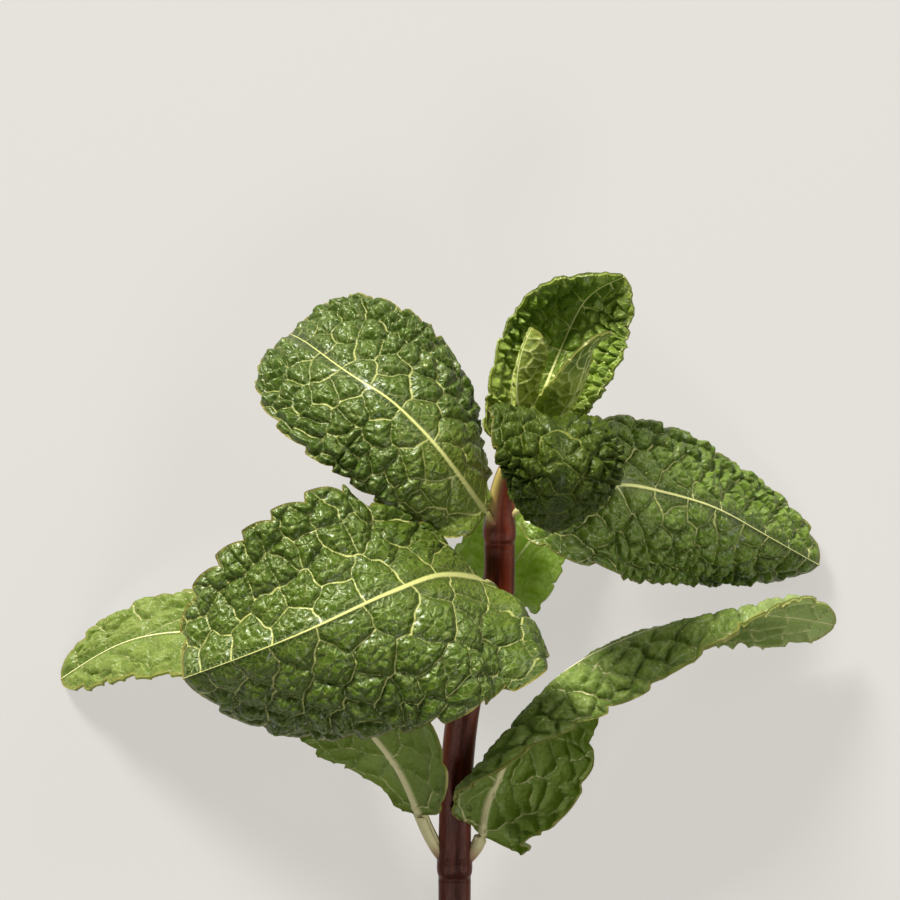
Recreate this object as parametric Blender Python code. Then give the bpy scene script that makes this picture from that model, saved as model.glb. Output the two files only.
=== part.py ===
"""A cut sprig of peppermint, lying on its back on a table with its tip toward +Y.

Lengths are millimetres until MM turns them into metres. The table is z = 0. Each leaf is one closed
sheet that grows along a spine: a curve from the middle of the stem, out along the leaf stalk and on
along the midrib to the tip. Every piece is its own object.
"""

import math

import bmesh
import bpy
import numpy as np
from mathutils import Vector
from mathutils.bvhtree import BVHTree

MM = 0.001
MIDDLE = (-0.4, -26.8)  # the place on the table under the middle of the sprig
GAP = 0.3  # left open between a leaf and the stem
BEND_CLEAR = 0.75  # added to the gap where a blade bends round the stem, for its half thickness and folds

STEM_SIDES = 16
STEM_STATIONS = 40
STEM_EDGE = 1.22  # how far the rounded edges reach, over half of a side
STEM_GROOVE = 0.05  # depth of the furrow along each side, over half of a side
NODE_SWELL = 0.14
NODE_REACH = 1.1

BLADE_HALF = 0.33  # half of a blade's thickness
STALK_HALF = 0.6  # half of a leaf stalk's thickness
FOLD_START = 1.5  # the blade takes this length to open out of the stalk
LOBE_START = 4.0  # a base lobe wider than this is folded like the blade beside it
RIB_HALF = 1.2  # within this distance of the midrib, the blade's thickness leans toward upright
RIB_DEPTH = 0.45  # how far the midrib stands out under the blade
RIPPLE = 0.3  # height of the folds between the side veins
PUCKER = 0.12  # height of the puffs along each fold
ROWS_PER_TOOTH = 3
ROW_SWEEP = 1.35  # above 1, rows start nearer the base on the midrib than they end on the margin
COLUMNS = 5  # from the midrib to one margin
MOST_STALK_ROWS = 3
STALK_STEP = 0.7  # between the rows of a stalk
VEIN_LEAN = 0.6  # how far a side vein runs toward the tip for each millimetre that it runs outward
VEIN_BEND = 0.45  # added to the lean by the time that it reaches the margin
TOOTH_RISE = 0.85  # the part of each tooth that its long outer side takes
CURVE_STEPS = 240


def clear_scene():
    """Remove every object that the startup scene holds."""
    for thing in list(bpy.data.objects):
        bpy.data.objects.remove(thing, do_unlink=True)


def material(name, colour, roughness):
    """A plain Principled surface."""
    made = bpy.data.materials.new(name)
    made.use_nodes = True
    shader = made.node_tree.nodes["Principled BSDF"]
    shader.inputs["Base Color"].default_value = (*colour, 1.0)
    shader.inputs["Roughness"].default_value = roughness
    shader.inputs["Metallic"].default_value = 0.0
    return made


def add_object(name, points, faces, colour, roughness=0.5):
    """A smooth mesh object from points in millimetres, with its faces turned outward."""
    shifted = np.asarray(points) - np.array([*MIDDLE, 0.0])
    mesh = bpy.data.meshes.new(name)
    mesh.from_pydata((shifted * MM).tolist(), [], faces)
    shape = bmesh.new()
    shape.from_mesh(mesh)
    bmesh.ops.triangulate(shape, faces=[face for face in shape.faces if len(face.verts) > 3])
    bmesh.ops.recalc_face_normals(shape, faces=shape.faces)
    shape.to_mesh(mesh)
    shape.free()
    mesh.shade_smooth()
    mesh.set_sharp_from_angle(angle=math.radians(50))
    mesh.materials.append(material(name + "_surface", colour, roughness))
    thing = bpy.data.objects.new(name, mesh)
    bpy.context.scene.collection.objects.link(thing)
    return thing


def unit(vectors):
    """Vectors of length one."""
    return vectors / np.maximum(np.linalg.norm(vectors, axis=-1, keepdims=True), 1e-9)


def smooth_curve(points):
    """A natural cubic spline through the points: the curve's points and the distance along it."""
    knots = np.asarray(points, float)
    count = len(knots)
    step = np.linalg.norm(np.diff(knots, axis=0), axis=1) ** 0.5
    where = np.concatenate([[0.0], np.cumsum(step)])
    matrix = np.eye(count)
    right = np.zeros_like(knots)
    for i in range(1, count - 1):
        matrix[i, i - 1 : i + 2] = step[i - 1], 2 * (step[i - 1] + step[i]), step[i]
        slopes = (knots[i + 1] - knots[i]) / step[i] - (knots[i] - knots[i - 1]) / step[i - 1]
        right[i] = 6 * slopes
    bend = np.linalg.solve(matrix, right)
    at = np.linspace(0, where[-1], CURVE_STEPS)
    span = np.clip(np.searchsorted(where, at, side="right") - 1, 0, count - 2)
    size = step[span][:, None]
    after = (where[span + 1] - at)[:, None]
    before = (at - where[span])[:, None]
    curve = (bend[span] * after**3 + bend[span + 1] * before**3) / (6 * size)
    curve += (knots[span] / size - bend[span] * size / 6) * after
    curve += (knots[span + 1] / size - bend[span + 1] * size / 6) * before
    lengths = np.linalg.norm(np.diff(curve, axis=0), axis=1)
    return curve, np.concatenate([[0.0], np.cumsum(lengths)])


def read_rows(at, along, rows):
    """Values read off a table of rows at the given distances."""
    return np.stack([np.interp(at, along, rows[:, i]) for i in range(rows.shape[1])], -1)


def blend(at, base, middle, tip):
    """The parabola with these values at the base (0), the middle (0.5) and the tip (1)."""
    at = np.clip(at, 0, 1)
    weights = 2 * (at - 0.5) * (at - 1), 4 * at * (1 - at), 2 * at * (at - 0.5)
    values = [np.asarray(value, float) for value in (base, middle, tip)]
    if values[0].ndim:
        weights = [weight[..., None] for weight in weights]
    return sum(weight * value for weight, value in zip(weights, values))


def close_tube(rings, ring_size, first=0):
    """Faces that join rings of points into a tube with both of its ends filled."""
    faces = []
    for i in range(rings - 1):
        for j in range(ring_size):
            after = (j + 1) % ring_size
            low = first + i * ring_size
            faces.append((low + j, low + after, low + ring_size + after, low + ring_size + j))
    faces.append(tuple(first + j for j in range(ring_size)))
    faces.append(tuple(first + (rings - 1) * ring_size + j for j in range(ring_size)))
    return faces


def stem_section(count):
    """The outline of a square stem with rounded edges and a furrow along each side."""
    angle = np.arange(count) * 2 * math.pi / count
    reach = np.minimum(1 / np.maximum(abs(np.cos(angle)), abs(np.sin(angle))), STEM_EDGE)
    reach -= STEM_GROOVE * (np.cos(4 * angle) > 0.99)
    return np.stack([np.cos(angle) * reach, np.sin(angle) * reach], -1)


def add_stem():
    """The stem: square, with swollen nodes, thinner toward the tip, flat where it lies on the table."""
    spine = [
        (0.5, -72.0, 1.5), (0.5, -63.0, 1.5), (0.5, -53.0, 3.2), (0.5, -44.0, 6.0),
        (1.0, -31.0, 10.0), (3.0, -21.0, 13.3), (5.0, -15.0, 15.3), (5.2, -8.2, 17.0),
        (6.0, -3.0, 19.4), (7.5, 0.0, 21.2), (9.0, 1.7, 22.2),
    ]
    half_sides = (1.75, 1.75, 1.75, 1.75, 1.75, 1.7, 1.65, 1.6, 1.35, 1.1, 0.8)
    nodes = (-44.5, -15.0, -8.4, -0.5)
    curve, along = smooth_curve(spine)
    at = np.linspace(0, along[-1], STEM_STATIONS)
    centre = read_rows(at, along, curve)
    forward = unit(read_rows(at, along, np.gradient(curve, along, axis=0)))
    across = unit(np.cross(forward, np.array([0.0, 0.0, 1.0])))
    up = np.cross(across, forward)
    half = np.interp(centre[:, 1], [point[1] for point in spine], half_sides)
    for node in nodes:
        half = half * (1 + NODE_SWELL * np.exp(-(((centre[:, 1] - node) / NODE_REACH) ** 2)))
    section = stem_section(STEM_SIDES)
    points = centre[:, None] + half[:, None, None] * (
        across[:, None] * section[None, :, :1] + up[:, None] * section[None, :, 1:]
    )
    points[..., 2] = np.maximum(points[..., 2], 0.0)
    faces = close_tube(STEM_STATIONS, STEM_SIDES)
    return add_object("stem", points.reshape(-1, 3), faces, (0.12, 0.02, 0.02), 0.35)


class Leaf:
    """A leaf's spine, outline and bending, and the sheet that they give."""

    def __init__(self, spine, face, stalk, half_widths, fullest, fullness, lobes, folds, curls, teeth,
                 tooth=0.7, stalk_half=STALK_HALF, rows=ROWS_PER_TOOTH, columns=COLUMNS, veins=7):
        self.curve, self.along = smooth_curve(spine)
        self.forward = unit(np.gradient(self.curve, self.along, axis=0))
        self.face = face
        self.stalk = stalk
        self.length = self.along[-1] - stalk
        self.half_widths = half_widths
        self.fullest = fullest
        self.fullness = fullness
        self.lobes = lobes
        self.folds = folds
        self.curls = curls
        self.teeth = teeth
        self.tooth = tooth
        self.stalk_half = stalk_half
        self.rows = rows
        self.columns = columns
        self.veins = veins

    def outline(self, turn, side):
        """The toothless margin: distance along the midrib and out from it, for turn from 0 to 1."""
        part = (1 - np.cos(np.pi * turn)) / 2
        rise = (part / self.fullest) ** self.fullest
        fall = ((1 - part) / (1 - self.fullest)) ** (1 - self.fullest)
        reach = (rise * fall) ** self.fullness
        out = self.half_widths[side] * reach
        return self.length * part - self.lobes[side] * reach * (1 - part) ** 3, out

    def margin(self, share, side):
        """The toothed margin at shares of its own length."""
        turn = np.linspace(0, 1, 4 * CURVE_STEPS)
        along, out = self.outline(turn, side)
        steps = np.hypot(np.diff(along), np.diff(out))
        run = np.concatenate([[0.0], np.cumsum(steps)]) / steps.sum()
        at = np.interp(share, run, along)
        reach = np.interp(share, run, out)
        slope = np.interp(share, run, np.gradient(along)), np.interp(share, run, np.gradient(out))
        size = np.hypot(*slope) + 1e-9
        phase = (self.teeth * share) % 1.0
        rising = np.sin(np.pi / 2 * (np.minimum(phase, TOOTH_RISE) / TOOTH_RISE) ** 0.7)
        falling = np.cos(np.pi / 2 * np.maximum(phase - TOOTH_RISE, 0) / (1 - TOOTH_RISE))
        height = np.where(phase < TOOTH_RISE, rising, falling) - 0.6
        height = height * self.tooth * np.clip(share / 0.12, 0, 1) * np.clip((1 - share) / 0.08, 0, 1)
        at = at + height * (0.25 * slope[0] - slope[1]) / size
        return at, np.maximum(reach + height * slope[0] / size, 0.05)

    def place(self, along, out, side, lift):
        """Points at these distances along and out from the midrib, raised by lift off the sheet."""
        on_blade = np.maximum(along, 0) if np.any(out > self.stalk_half) else along
        at = np.clip(on_blade + self.stalk, 0, self.along[-1])
        forward = unit(read_rows(at, self.along, self.forward))
        centre = read_rows(at, self.along, self.curve) + forward * (along + self.stalk - at)[..., None]
        face = blend(at / self.along[-1], *self.face)
        face = unit(face - (face * forward).sum(-1, keepdims=True) * forward)
        sideways = np.cross(face, forward) * (1 if side == 0 else -1)
        place = np.clip(along / self.length, 0, 1)
        opened = np.clip(np.maximum(along / FOLD_START, out / LOBE_START - 1), 0, 1)
        fold = np.radians(blend(place, *self.folds[side])) * opened
        bend = np.radians(blend(place, *self.curls[side])) / self.half_widths[side]
        bend = np.where(abs(bend) < 1e-5, 1e-5, bend)
        angle = fold + bend * out
        flat = (np.sin(angle) - np.sin(fold)) / bend
        high = (np.cos(fold) - np.cos(angle)) / bend
        upright = angle * np.clip(out / RIB_HALF, 0, 1)
        flat = flat - np.sin(upright) * lift
        high = high + np.cos(upright) * lift
        return centre + sideways * flat[..., None] + face * high[..., None]

    def stalk_rows(self, start, side):
        """The leaf stalk from start to the blade: an oval bar, swept back as the blade's first row is."""
        count = int(np.clip((self.stalk - start) / STALK_STEP, 1, MOST_STALK_ROWS))
        steps = np.linspace(start, self.stalk, count + 1)[:-1] - self.stalk
        columns = np.linspace(0, 1, self.columns + 1)
        along, share = np.meshgrid(steps, columns, indexing="ij")
        half = self.stalk_half * np.sqrt(1 - 0.85 * share**2)
        first, _, _ = self.blade_rows(side)
        back = min(first[0, -1] - first[0, 0], 0) / self.margin(1 / self.teeth / self.rows, side)[1]
        return along + back * share * self.stalk_half, share * self.stalk_half, half

    def blade_rows(self, side):
        """The blade: rows that sweep forward, columns from the midrib to the margin, and the relief."""
        count = self.rows * self.teeth
        share = np.arange(1, count + 1) / count * 0.985
        edge, reach = self.margin(share, side)
        columns = np.linspace(0, 1, self.columns + 1)
        middle = self.length * share[:, None] ** ROW_SWEEP
        along = middle + (edge[:, None] - middle) * columns**1.4
        out = reach[:, None] * columns
        lean = VEIN_LEAN + VEIN_BEND * out / self.half_widths[side]
        vein = (along - lean * out) * self.veins / self.length
        puff = np.cos(np.pi * self.columns * columns)
        fade = np.sin(np.pi * np.clip(columns * 0.85 + 0.05, 0, 1)) * np.minimum(reach[:, None] / 8, 1)
        lift = (PUCKER * puff - RIPPLE * np.cos(2 * np.pi * vein)) * fade
        return along, out, lift

    def sheet(self, start):
        """The top and bottom points of every row, from the left margin over the midrib to the right."""
        tops = []
        bottoms = []
        for side in (0, 1):
            along, out, half = self.stalk_rows(start, side)
            stalk_top = self.place(along, out, side, half)
            stalk_bottom = self.place(along, out, side, -half)
            along, out, lift = self.blade_rows(side)
            thick = np.full_like(lift, BLADE_HALF)
            under = thick.copy()
            under[:, 0] += RIB_DEPTH * np.linspace(1, 0, len(lift)) * self.stalk_half / STALK_HALF
            tops.append(np.concatenate([stalk_top, self.place(along, out, side, lift + thick)]))
            bottoms.append(np.concatenate([stalk_bottom, self.place(along, out, side, lift - under)]))
        top = np.concatenate([tops[0][:, ::-1], tops[1][:, 1:]], axis=1)
        bottom = np.concatenate([bottoms[0][:, ::-1], bottoms[1][:, 1:]], axis=1)
        return top, bottom

    def bent_round(self, tree, top, bottom):
        """The sheet with its blade moved off the stem wherever the two would meet."""
        middle = (top + bottom) / 2
        for i in range(len(middle) - self.rows * self.teeth, len(middle)):
            for j, point in enumerate(middle[i]):
                place = Vector(point.tolist())
                near, normal, _, away = tree.find_nearest(place)
                height = away if (place - near).dot(normal) > 0 else -away
                move = np.array(normal) * max(GAP + BEND_CLEAR - height, 0)
                top[i, j] += move
                bottom[i, j] += move
        return top, bottom

    def start_clear_of(self, tree):
        """The distance along the spine from which the stalk stays clear of the stem by the gap."""
        for start in np.arange(0, self.stalk - 0.3, 0.05):
            stalk = np.stack(self.sheet(start))[:, : -self.rows * self.teeth]
            if all(self.is_clear(tree, point) for point in stalk.reshape(-1, 3)):
                return start
        return self.stalk - 0.3

    @staticmethod
    def is_clear(tree, point):
        """Whether a point lies outside the stem by at least the gap."""
        near, normal, _, away = tree.find_nearest(Vector(point.tolist()))
        outside = (Vector(point.tolist()) - near).dot(normal) > 0
        return outside and away >= GAP


def stem_tree(stem):
    """The stem's surface in millimetres, to measure distances from."""
    corners = [tuple(vertex.co / MM + Vector((*MIDDLE, 0.0))) for vertex in stem.data.vertices]
    return BVHTree.FromPolygons(corners, [tuple(face.vertices) for face in stem.data.polygons])


def add_leaf(name, leaf, tree, colour):
    """One leaf as a closed sheet, flat where it lies on the table."""
    top, bottom = leaf.bent_round(tree, *leaf.sheet(leaf.start_clear_of(tree)))
    rows, columns = top.shape[:2]
    points = np.concatenate([top.reshape(-1, 3), bottom.reshape(-1, 3)])
    points[:, 2] = np.maximum(points[:, 2], 0.0)
    under = rows * columns
    faces = []
    for i in range(rows - 1):
        for j in range(columns - 1):
            a, b = i * columns + j, i * columns + j + 1
            c, d = b + columns, a + columns
            cut = (a, b, c), (a, c, d)
            if j >= (columns - 1) // 2:
                cut = (a, b, d), (b, c, d)
            for corner in cut:
                faces.append(corner)
                faces.append(tuple(under + index for index in reversed(corner)))
    rim = [i * columns for i in range(rows)]
    rim += [(rows - 1) * columns + j for j in range(1, columns)]
    rim += [i * columns + columns - 1 for i in range(rows - 2, -1, -1)]
    rim += list(range(columns - 2, 0, -1))
    for first, second in zip(rim, rim[1:] + rim[:1]):
        faces.append((first, second, under + second, under + first))
    return add_object(name, points, faces, colour)


def add_front_leaf(tree):
    """The largest leaf, over the stem, with its upper side toward the viewer."""
    leaf = Leaf(
        spine=[(5.0, -15.5, 15.2), (4.0, -13.9, 20.5), (-0.5, -12.9, 26.3), (-4.0, -13.7, 30.0),
               (-8.0, -15.3, 31.8), (-12.5, -17.4, 32.3), (-18.5, -20.0, 31.0), (-27.5, -23.5, 26.5)],
        face=[(-0.3, 0.7, 0.7), (-0.05, 0.0, 0.5), (-0.25, -0.15, 1.0)],
        stalk=6.5, half_widths=(14.6, 12.9), fullest=0.41, fullness=0.43, lobes=(5.1, -9.6),
        folds=[(-10, 5, -42), (18, -30, -45)], curls=[(-33, -42, 3), (-6, 29, 48)], teeth=11,
    )
    return add_leaf("leaf_front", leaf, tree, (0.09, 0.19, 0.03))


def add_upper_left_leaf(tree):
    """The leaf at the upper left, arched, with its tip turned down."""
    leaf = Leaf(
        spine=[(5.2, -8.5, 17.0), (3.4, -6.0, 20.7), (0.5, -2.0, 23.3), (-1.5, 0.5, 23.9),
               (-6.0, 5.0, 23.6), (-9.0, 7.0, 22.5), (-12.0, 9.0, 19.8), (-15.0, 11.2, 15.3),
               (-17.0, 12.3, 10.2)],
        face=[(0.25, 0.35, 0.95), (0.1, 0.15, 0.9), (-0.6, 0.6, 0.65)],
        stalk=4.2, half_widths=(9.4, 10.8), fullest=0.5, fullness=0.85, lobes=(3.0, 1.3),
        folds=[(-23, 2, 16), (-23, -13, -1)], curls=[(-41, -29, -14), (-59, -27, -9)], teeth=12,
    )
    return add_leaf("leaf_upper_left", leaf, tree, (0.10, 0.21, 0.04))


def add_upper_right_leaf(tree):
    """The leaf at the upper right, sloping down to its tip."""
    leaf = Leaf(
        spine=[(5.2, -8.5, 17.0), (7.5, -6.0, 19.5), (12.5, -4.5, 21.5), (17.5, -3.7, 21.0),
               (22.0, -4.4, 18.5), (27.5, -6.0, 14.5), (32.5, -8.5, 9.5), (40.0, -12.5, 2.5)],
        face=[(0.4, 0.6, 0.75), (0.1, 0.65, 0.6), (-0.05, 0.15, 0.75)],
        stalk=4.6, half_widths=(9.1, 10.1), fullest=0.44, fullness=0.87, lobes=(0.3, 1.2),
        folds=[(6, 16, -16), (15, -43, -47)], curls=[(-9, -5, -19), (-17, -55, -20)], teeth=13,
    )
    return add_leaf("leaf_upper_right", leaf, tree, (0.07, 0.15, 0.03))


def add_lower_left_leaf(tree):
    """The long leaf at the lower left: its underside shows near the stem, its upper side at the tip."""
    leaf = Leaf(
        spine=[(0.5, -45.0, 6.0), (-1.5, -42.5, 7.2), (-3.5, -38.0, 9.5), (-5.5, -33.5, 12.5),
               (-8.0, -30.0, 15.0), (-13.5, -24.0, 16.5), (-21.0, -20.0, 14.5),
               (-29.0, -19.5, 10.3), (-35.5, -21.0, 5.7), (-42.3, -25.0, 0.45)],
        face=[(0.85, 0.3, -0.6), (-0.3, 0.5, -0.05), (-0.25, 0.55, 0.85)],
        stalk=8.0, half_widths=(8.3, 7.9), fullest=0.39, fullness=0.94, lobes=(-0.1, 0.2),
        folds=[(-11, 6, 6), (17, 3, 17)], curls=[(-22, -12, -15), (-18, -9, -19)], teeth=11,
    )
    return add_leaf("leaf_lower_left", leaf, tree, (0.16, 0.27, 0.07))


def add_lower_right_leaf(tree):
    """The long leaf at the lower right, seen along its edge, with its far half hanging."""
    leaf = Leaf(
        spine=[(0.5, -45.0, 6.0), (3.1, -42.0, 7.6), (3.9, -38.0, 8.8), (5.0, -35.0, 10.0),
               (6.5, -31.0, 11.8), (8.8, -27.0, 12.4), (13.0, -23.0, 12.8), (20.2, -19.5, 13.0),
               (26.2, -18.0, 10.8), (33.5, -17.5, 8.0), (41.5, -18.8, 4.1)],
        face=[(0.05, 0.45, -1.1), (-0.4, 0.45, 0.05), (-0.25, 0.5, -0.45)],
        stalk=5.2, half_widths=(9.5, 7.8), fullest=0.34, fullness=0.83, lobes=(2.5, -5.0),
        folds=[(-52, -12, -14), (26, -12, 9)], curls=[(-44, -37, 30), (-90, -66, 5)], teeth=11,
    )
    return add_leaf("leaf_lower_right", leaf, tree, (0.12, 0.24, 0.05))


def add_back_leaf(tree):
    """The leaf under the stem, bent forward along the table."""
    leaf = Leaf(
        spine=[(5.0, -16.0, 15.0), (5.5, -15.0, 11.0), (6.0, -13.5, 6.0), (7.5, -11.5, 2.6),
               (10.5, -7.5, 0.9), (14.0, -3.5, 0.45), (18.5, 1.0, 0.3)],
        face=[(0.3, 0.85, 0.5), (-0.05, 0.1, 0.95), (-0.05, 0.0, 1.0)],
        stalk=4.0, half_widths=(6.3, 5.3), fullest=0.41, fullness=0.76, lobes=(2.0, 3.8),
        folds=[(8, 7, 22), (-31, 29, 20)], curls=[(9, 1, 4), (-14, 25, 2)], teeth=9, tooth=0.6,
    )
    return add_leaf("leaf_back", leaf, tree, (0.24, 0.36, 0.09))


def add_top_back_leaf(tree):
    """The upright leaf behind the tip, cupped toward the viewer."""
    leaf = Leaf(
        spine=[(7.0, -0.5, 21.0), (8.5, 2.0, 19.0), (9.5, 5.0, 18.0), (11.0, 9.0, 17.5),
               (12.5, 12.5, 18.0), (14.5, 16.0, 19.5), (18.0, 18.0, 22.5)],
        face=[(0.05, 0.15, 1.2), (-0.2, 0.15, 0.6), (-0.15, -0.65, 0.75)],
        stalk=3.0, half_widths=(7.0, 7.4), fullest=0.46, fullness=0.69, lobes=(6.2, -0.3),
        folds=[(15, 31, 33), (30, 6, 22)], curls=[(52, 36, 28), (26, 19, 24)], teeth=10, tooth=0.6,
    )
    return add_leaf("leaf_top_back", leaf, tree, (0.10, 0.20, 0.04))


def add_top_front_leaf(tree):
    """The dark young leaf that arches over the tip toward the viewer."""
    leaf = Leaf(
        spine=[(7.0, -0.5, 21.0), (8.5, 1.8, 25.5), (10.3, 3.0, 29.5), (11.0, 2.0, 33.0),
               (11.4, -1.0, 34.8), (11.2, -4.0, 34.0), (10.8, -6.5, 31.5), (10.5, -8.5, 28.0)],
        face=[(0.1, 1.0, -0.3), (0.15, 0.7, 0.85), (0.0, -0.5, 1.0)],
        stalk=3.2, half_widths=(7.8, 6.9), fullest=0.5, fullness=0.71, lobes=(0.4, 2.2),
        folds=[(11, -3, -23), (37, 6, -16)], curls=[(-30, -42, -22), (8, -33, -44)], teeth=10, tooth=0.5,
    )
    return add_leaf("leaf_top_front", leaf, tree, (0.04, 0.11, 0.02))


def add_young_leaves(tree):
    """The two small folded leaves at the growing tip."""
    left = Leaf(
        spine=[(8.5, 1.5, 22.5), (7.5, 4.0, 24.0), (7.0, 6.5, 25.5), (7.5, 10.0, 26.5),
               (8.5, 12.5, 27.0)],
        face=[(0.65, 0.0, -0.7), (0.6, 0.0, -0.8), (0.85, 0.0, -0.55)],
        stalk=1.8, half_widths=(2.9, 2.7), fullest=0.48, fullness=0.79, lobes=(-1.9, 0.1),
        folds=[(54, 60, 37), (20, 36, 35)], curls=[(31, 38, 17), (12, 27, 24)], teeth=6, tooth=0.25,
        stalk_half=0.4, columns=4, veins=5,
    )
    right = Leaf(
        spine=[(9.5, 1.5, 22.5), (11.0, 3.5, 24.5), (12.5, 5.5, 26.0), (13.5, 8.0, 27.0),
               (14.5, 10.5, 27.5), (16.5, 12.0, 27.0)],
        face=[(-0.6, 0.3, -0.7), (-0.65, 0.45, -0.5), (-0.7, 0.6, -0.2)],
        stalk=1.8, half_widths=(3.5, 3.5), fullest=0.45, fullness=0.81, lobes=(0.2, -0.1),
        folds=[(17, 16, 16), (27, 7, -9)], curls=[(25, 20, 7), (26, 18, -11)], teeth=6, tooth=0.25,
        stalk_half=0.4, columns=4, veins=5,
    )
    add_leaf("young_leaf_left", left, tree, (0.38, 0.46, 0.14))
    add_leaf("young_leaf_right", right, tree, (0.34, 0.42, 0.12))


def main():
    clear_scene()
    stem = add_stem()
    tree = stem_tree(stem)
    add_front_leaf(tree)
    add_upper_left_leaf(tree)
    add_upper_right_leaf(tree)
    add_lower_left_leaf(tree)
    add_lower_right_leaf(tree)
    add_back_leaf(tree)
    add_top_back_leaf(tree)
    add_top_front_leaf(tree)
    add_young_leaves(tree)


main()
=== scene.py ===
# %% [markdown]
# # A sprig of peppermint, lying on a table
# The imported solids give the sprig's true size and the place of each leaf. They are far too coarse to
# look at, so this script lays a finer leaf over each of them, with its net of veins, its puffed cells
# and its toothed margin, and gives everything a living colour. The camera looks straight down, because
# a cut stem without a vase lies on its side.

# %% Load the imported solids
import math

import bpy
import numpy as np
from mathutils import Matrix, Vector


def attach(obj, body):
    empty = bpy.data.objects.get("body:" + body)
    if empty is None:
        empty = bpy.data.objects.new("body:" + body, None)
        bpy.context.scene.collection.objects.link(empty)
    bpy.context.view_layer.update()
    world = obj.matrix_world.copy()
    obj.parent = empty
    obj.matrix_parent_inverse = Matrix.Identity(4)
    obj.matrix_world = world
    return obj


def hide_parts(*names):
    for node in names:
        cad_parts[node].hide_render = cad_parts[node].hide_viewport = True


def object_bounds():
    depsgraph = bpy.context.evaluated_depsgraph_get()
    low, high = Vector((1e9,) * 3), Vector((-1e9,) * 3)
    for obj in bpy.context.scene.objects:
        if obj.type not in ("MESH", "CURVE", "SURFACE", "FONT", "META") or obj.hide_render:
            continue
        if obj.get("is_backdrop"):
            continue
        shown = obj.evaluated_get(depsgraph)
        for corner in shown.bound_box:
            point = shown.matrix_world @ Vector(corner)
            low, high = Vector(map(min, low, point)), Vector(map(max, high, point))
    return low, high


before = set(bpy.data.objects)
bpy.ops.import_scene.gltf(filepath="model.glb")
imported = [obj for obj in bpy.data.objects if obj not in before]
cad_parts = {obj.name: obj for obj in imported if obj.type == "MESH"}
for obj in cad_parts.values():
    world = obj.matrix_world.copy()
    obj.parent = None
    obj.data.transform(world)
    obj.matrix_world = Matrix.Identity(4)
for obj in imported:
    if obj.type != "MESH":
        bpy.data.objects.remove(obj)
cad_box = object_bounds()
MM = 0.001  # every length below is in millimetres until this turns it into metres
MIDDLE = np.array([-0.4, -26.8, 0.0])  # the table point under the sprig, where the part's origin lies
print("solids:", ", ".join(sorted(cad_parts)))

# %% [markdown]
# ## Spines
# Each leaf grows along one curve: from the middle of the stem, out along its stalk and on along the
# midrib to the tip. A natural cubic spline through a few points bends like a springy twig. It is the
# same curve that the solids were made with, so the fine leaf lies inside its solid.

# %% Curves
CURVE_STEPS = 240  # points on each curve


def unit(vectors):
    """Vectors divided by their own length."""
    return vectors / np.maximum(np.linalg.norm(vectors, axis=-1, keepdims=True), 1e-9)


def smooth_curve(points):
    """Natural cubic spline: with step a before knot i and step b after it, its bending m there solves
    a m[i-1] + 2 (a + b) m[i] + b m[i+1] = 6 (slope after - slope before), and m is 0 at both ends."""
    knots = np.asarray(points, float)
    count = len(knots)
    step = np.linalg.norm(np.diff(knots, axis=0), axis=1) ** 0.5  # the root keeps it from overshooting
    where = np.concatenate([[0.0], np.cumsum(step)])
    matrix = np.eye(count)
    right = np.zeros_like(knots)
    for i in range(1, count - 1):
        matrix[i, i - 1 : i + 2] = step[i - 1], 2 * (step[i - 1] + step[i]), step[i]
        slopes = (knots[i + 1] - knots[i]) / step[i] - (knots[i] - knots[i - 1]) / step[i - 1]
        right[i] = 6 * slopes
    bend = np.linalg.solve(matrix, right)
    at = np.linspace(0, where[-1], CURVE_STEPS)
    span = np.clip(np.searchsorted(where, at, side="right") - 1, 0, count - 2)
    size = step[span][:, None]
    after = (where[span + 1] - at)[:, None]
    before = (at - where[span])[:, None]
    curve = (bend[span] * after**3 + bend[span + 1] * before**3) / (6 * size)
    curve += (knots[span] / size - bend[span] * size / 6) * after
    curve += (knots[span + 1] / size - bend[span + 1] * size / 6) * before
    lengths = np.linalg.norm(np.diff(curve, axis=0), axis=1)
    return curve, np.concatenate([[0.0], np.cumsum(lengths)])


trial_length = smooth_curve([(0, 0, 0), (10, 2, 0), (20, 0, 0)])[1][-1]
print(f"a bent spine with its ends 20 mm apart is {trial_length:.1f} mm long")


# %% Values between values
def read_rows(at, along, rows):
    """Rows of a table, read between its entries at the given distances."""
    return np.stack([np.interp(at, along, rows[:, i]) for i in range(rows.shape[1])], -1)


def blend(at, base, middle, tip):
    """The parabola with these values at the base (0), the middle (0.5) and the tip (1)."""
    at = np.clip(at, 0, 1)
    weights = 2 * (at - 0.5) * (at - 1), 4 * at * (1 - at), 2 * at * (at - 0.5)
    values = [np.asarray(value, float) for value in (base, middle, tip)]
    if values[0].ndim:
        weights = [weight[..., None] for weight in weights]
    return sum(weight * value for weight, value in zip(weights, values))


def soft_step(low, high, values):
    """0 below low, 1 above high, and between them the S curve 3 share^2 - 2 share^3."""
    share = np.clip((values - low) / (high - low), 0, 1)
    return share * share * (3 - 2 * share)


print("soft step a quarter of the way up:", soft_step(0.0, 1.0, 0.25))

# %% [markdown]
# ## The stem
# Mint stems are square, with a furrow down each side, and they swell where a pair of leaves is
# attached. The cross-section is a superellipse: a circle whose power of 2 is raised to 5, which makes a
# square with round corners. It is carried along the stem's curve as one tube with closed ends.

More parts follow.
